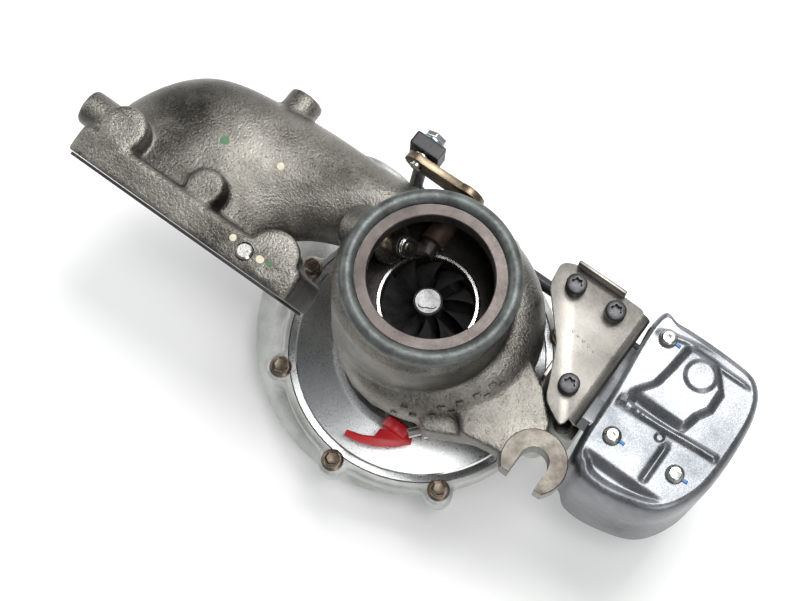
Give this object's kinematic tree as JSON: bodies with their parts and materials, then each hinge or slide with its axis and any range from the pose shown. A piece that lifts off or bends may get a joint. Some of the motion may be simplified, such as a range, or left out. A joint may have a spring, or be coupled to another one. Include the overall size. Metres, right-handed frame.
{
  "type": "turbocharger",
  "caption": "Turbocharger with a cast manifold elbow and turbine housing, internal wastegate, compressor housing, spinning rotor and a shielded electric wastegate actuator.",
  "frame": {"origin": "centre of the bounding box on the ground, 17.5 mm from the shaft axis towards -X", "axes": "+Z along the shaft from the compressor inlet to the turbine outlet; +Y the way the compressor outlet faces; the elbow runs to -X, the actuator sits at +X, and the manifold flange faces -Y, leaning 13 degrees down"},
  "size_m": [0.339, 0.1548, 0.18],
  "materials": {
    "cast_steel": "investment cast stainless steel, shot blasted, grey with bright grit sparkle and a faint heat tint",
    "gasket_sheet": "thin black coated steel gasket sheet",
    "bright_steel": "bright machined or plated steel",
    "hot_alloy": "dark nickel alloy with a fine cast skin",
    "dark_steel": "dark phosphated steel",
    "bearing_bronze": "bearing bronze, bored and turned",
    "cast_iron": "grey iron casting",
    "red_plastic": "soft red moulded plastic",
    "yellow_zinc": "yellow passivated zinc on steel",
    "turned_aluminium": "lathe turned aluminium with fine circular tool marks",
    "cast_aluminium": "sand cast aluminium, light grey and rough",
    "crank_steel": "stainless plate with a straw heat tint",
    "black_steel": "black coated pressed steel",
    "blue_zinc": "blue passivated zinc on steel",
    "gear_plastic": "glass filled gear plastic",
    "grey_aluminium": "die cast aluminium, dull grey",
    "black_plastic": "black glass filled plastic",
    "bracket_steel": "pressed stainless sheet, slightly warm grey",
    "shield_sheet": "pressed aluminised sheet, satin with darker creases",
    "bolt_steel": "zinc nickel plated steel, slightly brown"
  },
  "bodies": {
    "root": {"turbine_housing": "cast_steel", "manifold_gasket": "gasket_sheet", "flange_pin": "bright_steel", "turbine_heat_shield": "hot_alloy", "turbine_seal_ring": "dark_steel", "compressor_seal_ring": "dark_steel", "thrust_bearing": "bearing_bronze", "centre_housing": "cast_iron", "journal_bearing": "bearing_bronze", "oil_port_plug": "red_plastic", "clamp_band": "bright_steel", "clamp_bolt": "bright_steel", "clamp_nut": "yellow_zinc", "back_plate": "turned_aluminium", "compressor_housing": "cast_aluminium", "plate_bolt_1": "bolt_steel", "plate_bolt_2": "bolt_steel", "plate_bolt_3": "bolt_steel", "plate_bolt_4": "bolt_steel", "plate_bolt_5": "bolt_steel", "plate_bolt_6": "bolt_steel", "plate_bolt_7": "bolt_steel", "plate_bolt_8": "bolt_steel", "wastegate_bush": "hot_alloy", "motor_can": "bright_steel", "actuator_housing": "grey_aluminium", "actuator_cover": "black_plastic", "actuator_bracket": "bracket_steel", "bracket_screw_1": "dark_steel", "bracket_screw_2": "dark_steel", "bracket_screw_3": "dark_steel", "foot_screw_1": "dark_steel", "foot_screw_2": "dark_steel", "heat_shield": "shield_sheet", "shield_screw_1": "bright_steel", "shield_screw_2": "bright_steel", "shield_screw_3": "bright_steel"},
    "rotor": {"turbine_wheel": "hot_alloy", "rotor_shaft": "bright_steel", "thrust_collar": "bright_steel", "compressor_wheel": "turned_aluminium", "shaft_nut": "bright_steel"},
    "wastegate": {"wastegate_arm": "hot_alloy", "wastegate_crank": "crank_steel", "crank_pin": "bright_steel", "link_washer": "blue_zinc", "link_nut": "bright_steel"},
    "valve": {"wastegate_valve": "bright_steel", "valve_washer": "bright_steel"},
    "link": {"link_rod": "black_steel"},
    "output": {"actuator_lever": "dark_steel", "output_gear": "gear_plastic"},
    "mid_gear": {"intermediate_gear": "gear_plastic"},
    "motor": {"motor_rotor": "dark_steel"}
  },
  "joints": [
    {"name": "rotor_spin", "type": "hinge", "parent": "root", "child": "rotor", "pos_m": [0.0175, 0, 0.076], "axis": [0, 0, 1], "continuous": true},
    {"name": "actuator_swing", "type": "hinge", "parent": "root", "child": "output", "pos_m": [0.0935, 0.04, 0.081], "axis": [0, 1, 0], "range_deg": [0, 30]},
    {"name": "wastegate_swing", "type": "hinge", "parent": "root", "child": "wastegate", "pos_m": [0.0035, 0.035, 0.1455], "axis": [0, 1, 0], "range_deg": [0, 30]},
    {"name": "valve_turn", "type": "hinge", "parent": "wastegate", "child": "valve", "pos_m": [-0.00486, 0.0105, 0.15546], "axis": [0.766, 0, 0.6428], "continuous": true},
    {"name": "link_swing", "type": "hinge", "parent": "output", "child": "link", "pos_m": [0.0655, 0.058, 0.081], "axis": [0, 1, 0], "range_deg": [-30, 0]},
    {"name": "mid_gear_spin", "type": "hinge", "parent": "root", "child": "mid_gear", "pos_m": [0.1202, 0.04, 0.0909], "axis": [0, 1, 0], "range_deg": [-120, 0]},
    {"name": "motor_spin", "type": "hinge", "parent": "root", "child": "motor", "pos_m": [0.1367, 0.02, 0.07509], "axis": [0, 1, 0], "range_deg": [0, 360]}
  ],
  "couplings": [
    {"joint": "wastegate_swing", "follows": "actuator_swing", "ratio": 1},
    {"joint": "link_swing", "follows": "actuator_swing", "ratio": -1},
    {"joint": "mid_gear_spin", "follows": "actuator_swing", "ratio": -4},
    {"joint": "motor_spin", "follows": "actuator_swing", "ratio": 12}
  ]
}
